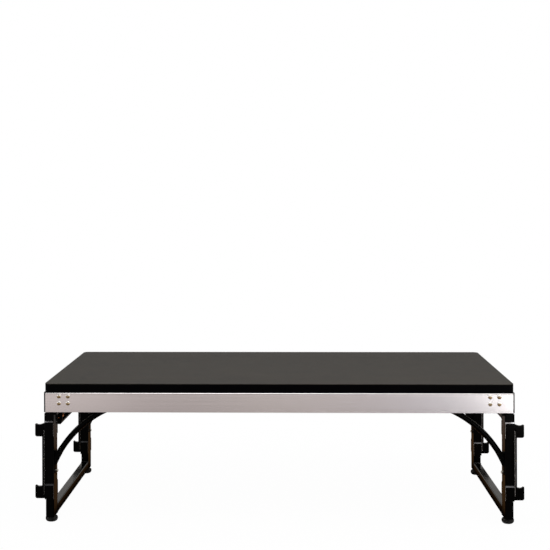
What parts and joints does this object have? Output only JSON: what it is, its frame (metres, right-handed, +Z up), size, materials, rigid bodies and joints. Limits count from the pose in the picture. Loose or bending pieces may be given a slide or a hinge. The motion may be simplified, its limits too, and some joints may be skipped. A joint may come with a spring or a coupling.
{
  "type": "stage riser platform",
  "caption": "Rectangular stage deck on two inward-folding leg frames with arched knee braces, lock handles, side hook bars and levelling feet.",
  "frame": {"origin": "middle of the footprint, on the floor", "axes": "+X along the deck's 2 m length, +Y from the front rail to the rear rail, +Z up"},
  "size_m": [2.104, 1.0084, 0.606],
  "materials": {
    "deck_surface": "charcoal non-slip deck film, fine grain, matt",
    "plywood": "birch plywood, sealed",
    "black_edge": "black edge band, satin",
    "aluminium_rail": "satin anodised, drawn along its length",
    "mill_aluminium": "mill finish extrusion",
    "black_steel": "black powder coat, semi gloss",
    "rivet_steel": "domed rivets, warm grey",
    "zinc": "zinc plated",
    "rubber": "black moulded rubber",
    "nylon": "black nylon",
    "copper_spring": "copper-toned spring wire"
  },
  "bodies": {
    "deck": {"deck_covering": "deck_surface", "deck_board": "plywood", "deck_edge_trim": "black_edge", "front_rail": "aluminium_rail", "rear_rail": "aluminium_rail", "left_side_rail": "black_steel", "right_side_rail": "black_steel", "cross_joist_left": "black_steel", "cross_joist_centre": "black_steel", "cross_joist_right": "black_steel", "corner_gusset_front_left": "black_steel", "hinge_bracket_front_left": "black_steel", "rivet_set_front_left": "rivet_steel", "brace_track_front_left": "mill_aluminium", "corner_gusset_front_right": "black_steel", "hinge_bracket_front_right": "black_steel", "rivet_set_front_right": "rivet_steel", "brace_track_front_right": "mill_aluminium", "corner_gusset_rear_left": "black_steel", "hinge_bracket_rear_left": "black_steel", "rivet_set_rear_left": "rivet_steel", "brace_track_rear_left": "mill_aluminium", "corner_gusset_rear_right": "black_steel", "hinge_bracket_rear_right": "black_steel", "rivet_set_rear_right": "rivet_steel", "brace_track_rear_right": "mill_aluminium"},
    "leg_right": {"leg_frame_right": "black_steel", "hook_bar_front_right": "black_steel", "hook_bar_screw_front_right": "zinc", "brace_bracket_front_right": "black_steel", "brace_bracket_bolt_front_right": "zinc", "hook_bar_rear_right": "black_steel", "hook_bar_screw_rear_right": "zinc", "brace_bracket_rear_right": "black_steel", "brace_bracket_bolt_rear_right": "zinc"},
    "brace_right": {"arch_brace_right": "black_steel"},
    "shoes_right": {"slider_shoe_front_right": "nylon", "slider_shoe_rear_right": "nylon"},
    "lock_right": {"lock_handle_right": "black_steel", "lock_spring_right": "copper_spring"},
    "foot_front_right": {"levelling_foot_front_right": "rubber"},
    "foot_rear_right": {"levelling_foot_rear_right": "rubber"},
    "leg_left": {"leg_frame_left": "black_steel", "hook_bar_front_left": "black_steel", "hook_bar_screw_front_left": "zinc", "brace_bracket_front_left": "black_steel", "brace_bracket_bolt_front_left": "zinc", "hook_bar_rear_left": "black_steel", "hook_bar_screw_rear_left": "zinc", "brace_bracket_rear_left": "black_steel", "brace_bracket_bolt_rear_left": "zinc"},
    "brace_left": {"arch_brace_left": "black_steel"},
    "shoes_left": {"slider_shoe_front_left": "nylon", "slider_shoe_rear_left": "nylon"},
    "lock_left": {"lock_handle_left": "black_steel", "lock_spring_left": "copper_spring"},
    "foot_front_left": {"levelling_foot_front_left": "rubber"},
    "foot_rear_left": {"levelling_foot_rear_left": "rubber"}
  },
  "joints": [
    {"name": "leg_fold_right", "type": "hinge", "parent": "deck", "child": "leg_right", "pos_m": [0.97, 0, 0.49], "axis": [0, 1, 0], "range_deg": [0, 90]},
    {"name": "brace_swing_right", "type": "hinge", "parent": "leg_right", "child": "brace_right", "pos_m": [0.95, 0, 0.29813], "axis": [0, -1, 0], "range_deg": [0, 125.36]},
    {"name": "shoe_slide_right", "type": "slide", "parent": "deck", "child": "shoes_right", "axis": [-1, 0, 0], "range_m": [0, 0.243]},
    {"name": "lock_turn_right", "type": "hinge", "parent": "leg_right", "child": "lock_right", "pos_m": [0.959, 0, 0.442], "axis": [0, -1, 0], "range_deg": [0, 15], "stiffness_Nm_per_rad": 1.5},
    {"name": "foot_screw_front_right", "type": "slide", "parent": "leg_right", "child": "foot_front_right", "axis": [0, 0, -1], "range_m": [0, 0.012]},
    {"name": "foot_screw_rear_right", "type": "slide", "parent": "leg_right", "child": "foot_rear_right", "axis": [0, 0, -1], "range_m": [0, 0.012]},
    {"name": "leg_fold_left", "type": "hinge", "parent": "deck", "child": "leg_left", "pos_m": [-0.97, 0, 0.49], "axis": [0, -1, 0], "range_deg": [0, 90]},
    {"name": "brace_swing_left", "type": "hinge", "parent": "leg_left", "child": "brace_left", "pos_m": [-0.95, 0, 0.29813], "axis": [0, 1, 0], "range_deg": [0, 125.36]},
    {"name": "shoe_slide_left", "type": "slide", "parent": "deck", "child": "shoes_left", "axis": [1, 0, 0], "range_m": [0, 0.243]},
    {"name": "lock_turn_left", "type": "hinge", "parent": "leg_left", "child": "lock_left", "pos_m": [-0.959, 0, 0.442], "axis": [0, 1, 0], "range_deg": [0, 15], "stiffness_Nm_per_rad": 1.5},
    {"name": "foot_screw_front_left", "type": "slide", "parent": "leg_left", "child": "foot_front_left", "axis": [0, 0, -1], "range_m": [0, 0.012]},
    {"name": "foot_screw_rear_left", "type": "slide", "parent": "leg_left", "child": "foot_rear_left", "axis": [0, 0, -1], "range_m": [0, 0.012]}
  ],
  "couplings": [
    {"joint": "brace_swing_right", "follows": "leg_fold_right", "ratio": 1.3918},
    {"joint": "shoe_slide_right", "follows": "leg_fold_right", "m_per_rad": 0.15451},
    {"joint": "brace_swing_left", "follows": "leg_fold_left", "ratio": 1.3918},
    {"joint": "shoe_slide_left", "follows": "leg_fold_left", "m_per_rad": 0.15451}
  ]
}
